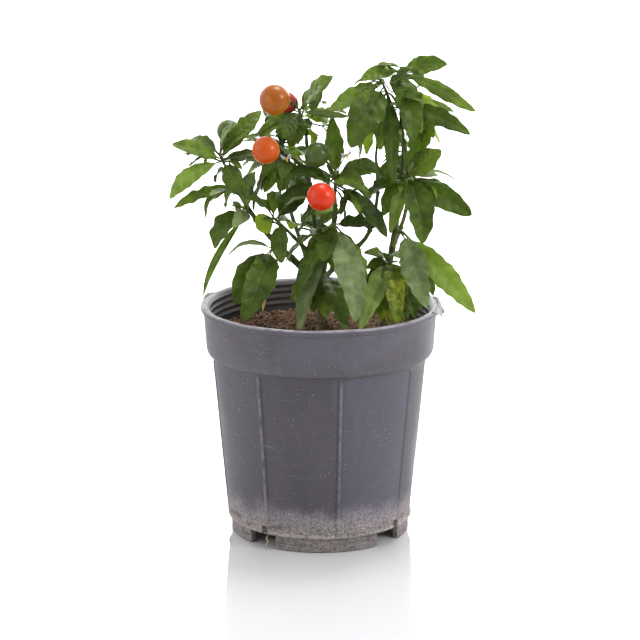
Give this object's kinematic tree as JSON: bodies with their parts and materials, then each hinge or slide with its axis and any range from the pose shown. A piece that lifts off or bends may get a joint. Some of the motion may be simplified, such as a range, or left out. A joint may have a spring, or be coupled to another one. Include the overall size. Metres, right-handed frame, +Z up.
{
  "type": "potted winter cherry plant",
  "caption": "Small bushy potted shrub with lance-shaped leaves and round orange, red and green berries, in a round tapered plastic nursery pot.",
  "frame": {"origin": "on the pot's axis, level with the flat underside of its feet, which is what the plant stands on", "axes": "+Z up along the plant, its longest extent; the pictured front faces -Y; +X to the right of the picture"},
  "size_m": [0.178, 0.14, 0.2819],
  "materials": {
    "pot_plastic": "satin, dusty, chalky near the foot",
    "potting_mix": "crumbly and rough",
    "green_bark": "rough, green turning brown at the foot",
    "foliage": "soft satin leaves"
  },
  "bodies": {
    "root": {"pot": "pot_plastic", "soil": "potting_mix", "trunk_right": "green_bark", "trunk_left": "green_bark", "bough_left": "green_bark", "bough_upper_left": "green_bark", "bough_low_left": "green_bark", "bough_inner_left": "green_bark", "bough_back": "green_bark", "bough_back_left": "green_bark", "bough_right_inner": "green_bark", "bough_back_right": "green_bark", "foliage_left_tip": "foliage", "foliage_left_low": "foliage", "foliage_left_foot": "foliage", "foliage_upper_left": "foliage", "foliage_inner_left": "foliage", "foliage_low_inner": "foliage", "foliage_centre": "foliage", "foliage_front": "foliage", "foliage_low_front": "foliage", "foliage_right_top": "foliage", "foliage_right_inner": "foliage", "foliage_right_mid": "foliage", "foliage_right_low": "foliage", "foliage_right_foot": "foliage", "foliage_back": "foliage", "foliage_back_left": "foliage", "foliage_back_right": "foliage", "foliage_back_low": "foliage"}
  },
  "joints": []
}
